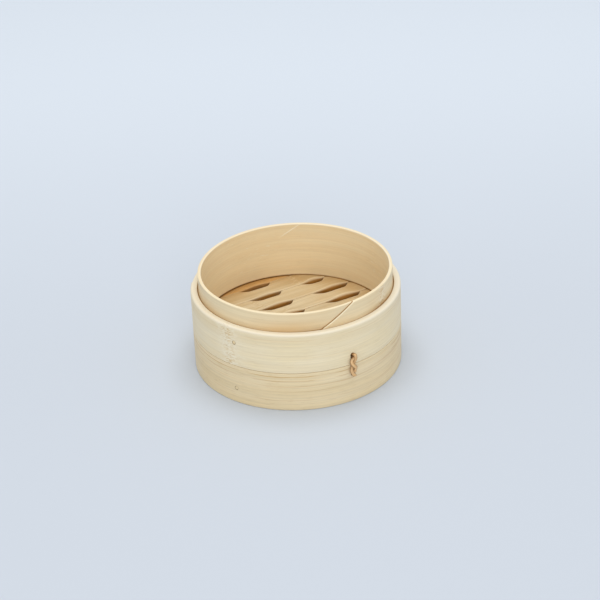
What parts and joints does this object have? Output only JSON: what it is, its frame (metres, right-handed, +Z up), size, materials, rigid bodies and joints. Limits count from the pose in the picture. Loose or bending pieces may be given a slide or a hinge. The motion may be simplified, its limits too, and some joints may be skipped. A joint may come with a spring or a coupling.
{
  "type": "bamboo steamer basket",
  "caption": "Round open bamboo steamer tier with outer bands, a raised inner collar, a slotted slat floor and a socket beneath for stacking.",
  "frame": {"origin": "centre of the base on the plane it stands on", "axes": "+Z up through the rim; -Y towards the front; the stitch is 30 degrees round from the front towards +X"},
  "size_m": [0.115, 0.115, 0.0565],
  "materials": {
    "bamboo_tan": "satin, fine straight fibres",
    "bamboo_pale": "satin, fine straight fibres",
    "bamboo_ring": "smooth, fine straight fibres",
    "bamboo_slat": "planed, faint streaks",
    "bamboo_brown": "rough sawn",
    "cane": "split cane, slightly glossy"
  },
  "bodies": {
    "root": {"lower_band": "bamboo_tan", "upper_band": "bamboo_pale", "inner_ring": "bamboo_ring", "support_hoop": "bamboo_brown", "crossbar_left": "bamboo_brown", "crossbar_right": "bamboo_brown", "end_slat_front": "bamboo_brown", "slat_1": "bamboo_slat", "slat_2": "bamboo_slat", "slat_3": "bamboo_slat", "slat_4": "bamboo_slat", "slat_5": "bamboo_slat", "slat_6": "bamboo_slat", "slat_7": "bamboo_slat", "end_slat_back": "bamboo_brown", "cane_stitch": "cane", "upper_band_pin": "bamboo_brown", "lower_band_pin": "bamboo_brown", "hoop_pins": "bamboo_brown"}
  },
  "joints": []
}
